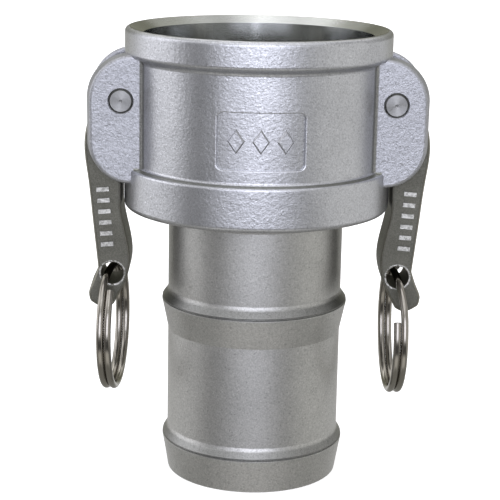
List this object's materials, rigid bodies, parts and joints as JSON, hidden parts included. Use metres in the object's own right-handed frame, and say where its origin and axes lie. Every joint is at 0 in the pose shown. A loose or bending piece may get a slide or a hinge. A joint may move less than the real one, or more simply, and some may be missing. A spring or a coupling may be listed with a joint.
{
  "type": "camlock coupling",
  "caption": "Female cam and groove hose coupler: cast socket with hinged cam arms, pull rings, a sealing gasket and a barbed hose shank.",
  "frame": {"origin": "centre of the hose shank's end face", "axes": "+Z along the waterway towards the socket's mouth, +X to the right cam arm, -Y to the front with the panel"},
  "size_m": [0.0948, 0.0736, 0.126],
  "materials": {
    "cast_body": "bead-blasted cast stainless steel with a machined bore",
    "cam_arms": "dark as-cast stainless steel",
    "pivot_pins": "turned bright",
    "pull_rings": "polished round wire",
    "gasket": "matt black nitrile rubber"
  },
  "bodies": {
    "coupler": {"body": "cast_body", "gasket": "gasket", "left_pivot_pin": "pivot_pins", "right_pivot_pin": "pivot_pins"},
    "left_arm": {"left_cam_arm": "cam_arms"},
    "right_arm": {"right_cam_arm": "cam_arms"},
    "left_ring": {"left_pull_ring": "pull_rings"},
    "right_ring": {"right_pull_ring": "pull_rings"}
  },
  "joints": [
    {"name": "left_arm_hinge", "type": "hinge", "parent": "coupler", "child": "left_arm", "pos_m": [-0.03705, 0, 0.107], "axis": [0, 1, 0], "range_deg": [0, 105]},
    {"name": "right_arm_hinge", "type": "hinge", "parent": "coupler", "child": "right_arm", "pos_m": [0.03705, 0, 0.107], "axis": [0, -1, 0], "range_deg": [0, 105]},
    {"name": "left_ring_swing", "type": "hinge", "parent": "left_arm", "child": "left_ring", "pos_m": [-0.0398, 0, 0.05785], "axis": [0, 1, 0], "range_deg": [-18, 95]},
    {"name": "right_ring_swing", "type": "hinge", "parent": "right_arm", "child": "right_ring", "pos_m": [0.0398, 0, 0.05785], "axis": [0, -1, 0], "range_deg": [-18, 95]}
  ]
}
